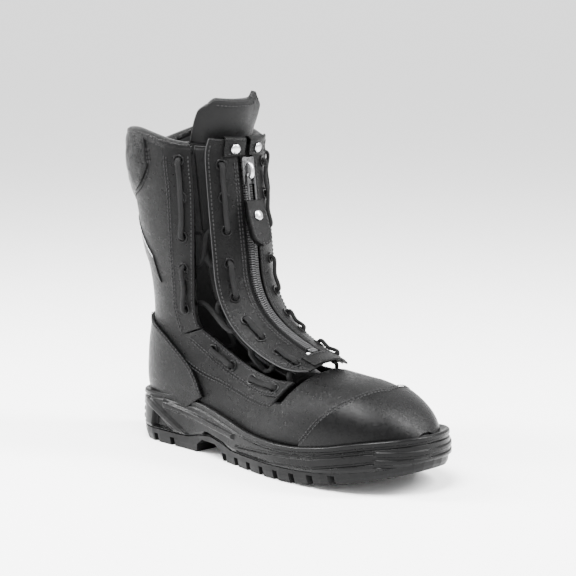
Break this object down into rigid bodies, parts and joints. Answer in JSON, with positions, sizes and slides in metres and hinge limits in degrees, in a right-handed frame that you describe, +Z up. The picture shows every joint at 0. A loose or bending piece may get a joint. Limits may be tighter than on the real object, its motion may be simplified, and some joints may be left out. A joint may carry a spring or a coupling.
{
  "type": "fire boot",
  "caption": "Black leather fire boot with a front zip panel laced into its facings, padded collar, scuff cap and lugged sole.",
  "frame": {"origin": "on the ground, under the middle of the boot's own box", "axes": "+X to the toe, -Y to the outer side, +Z up"},
  "size_m": [0.309, 0.113, 0.292],
  "materials": {
    "upper_leather": "fine-grained, satin",
    "scuff_rubber": "fine pebble, satin",
    "outsole_rubber": "matte",
    "midsole_rubber": "matte with glossy panels",
    "collar_leather": "soft, wrinkled, semi-gloss",
    "lining_textile": "knitted",
    "foam_padding": "soft foam",
    "lace_cord": "braided, satin",
    "zip_tape": "woven",
    "zip_teeth": "moulded, glossy",
    "eyelet_plastic": "moulded, glossy",
    "hardware_metal": "satin steel",
    "toe_cap_metal": "plain",
    "insole_board": "fibre board",
    "counter_plastic": "thermoplastic sheet",
    "reflective": "retroreflective"
  },
  "bodies": {
    "boot": {"outsole": "outsole_rubber", "midsole": "midsole_rubber", "shank": "hardware_metal", "insole_board": "insole_board", "puncture_layer": "foam_padding", "safety_toe_cap": "toe_cap_metal", "heel_counter": "counter_plastic", "lining": "lining_textile", "footbed": "foam_padding", "vamp": "upper_leather", "toe_scuff_cap": "scuff_rubber", "heel_cover": "upper_leather", "collar_pad": "collar_leather", "back_stay": "upper_leather", "tongue": "upper_leather", "zip_bottom_stop": "hardware_metal", "zip_end_patch": "upper_leather", "shaft_foam_lateral": "foam_padding", "quarter_lateral": "upper_leather", "facing_upper_lateral": "upper_leather", "eyelets_upper_lateral": "eyelet_plastic", "facing_lower_lateral": "upper_leather", "eyelets_lower_lateral": "eyelet_plastic", "side_badge_lateral": "reflective", "zip_panel_lateral": "upper_leather", "eyelets_panel_lateral": "eyelet_plastic", "zip_tape_lateral": "zip_tape", "zip_teeth_lateral": "zip_teeth", "top_tab_lateral": "upper_leather", "top_tab_rivet_lateral": "hardware_metal", "lace_lateral": "lace_cord", "shaft_foam_medial": "foam_padding", "quarter_medial": "upper_leather", "facing_upper_medial": "upper_leather", "eyelets_upper_medial": "eyelet_plastic", "facing_lower_medial": "upper_leather", "eyelets_lower_medial": "eyelet_plastic", "side_badge_medial": "reflective", "zip_panel_medial": "upper_leather", "eyelets_panel_medial": "eyelet_plastic", "zip_tape_medial": "zip_tape", "zip_teeth_medial": "zip_teeth", "top_tab_medial": "upper_leather", "top_tab_rivet_medial": "hardware_metal", "lace_medial": "lace_cord"},
    "slider": {"zip_slider": "hardware_metal"},
    "puller": {"zip_puller": "hardware_metal"},
    "pull_tab": {"pull_tab": "upper_leather", "pull_tab_rivet": "hardware_metal"},
    "tongue_top": {"tongue_top": "upper_leather"},
    "rear_tab": {"rear_tab": "reflective"}
  },
  "joints": [
    {"name": "zip_slide", "type": "slide", "parent": "boot", "child": "slider", "axis": [0.1174, 0, -0.9931], "range_m": [0, 0.04]},
    {"name": "puller_swing", "type": "hinge", "parent": "slider", "child": "puller", "pos_m": [-0.03789, -0.00077, 0.2287], "axis": [0, -1, 0], "range_deg": [0, 135]},
    {"name": "pull_tab_swing", "type": "hinge", "parent": "puller", "child": "pull_tab", "pos_m": [-0.03519, -0.00077, 0.20586], "axis": [0, -1, 0], "range_deg": [0, 30]},
    {"name": "tongue_flex", "type": "hinge", "parent": "boot", "child": "tongue_top", "pos_m": [-0.05874, -0.00077, 0.24978], "axis": [0, 1, 0], "range_deg": [-2, 25], "stiffness_Nm_per_rad": 0.03},
    {"name": "rear_tab_swing", "type": "hinge", "parent": "boot", "child": "rear_tab", "pos_m": [-0.14253, -0.00077, 0.15251], "axis": [-0.1566, 0, 0.9877], "range_deg": [-45, 45], "stiffness_Nm_per_rad": 0.002}
  ]
}
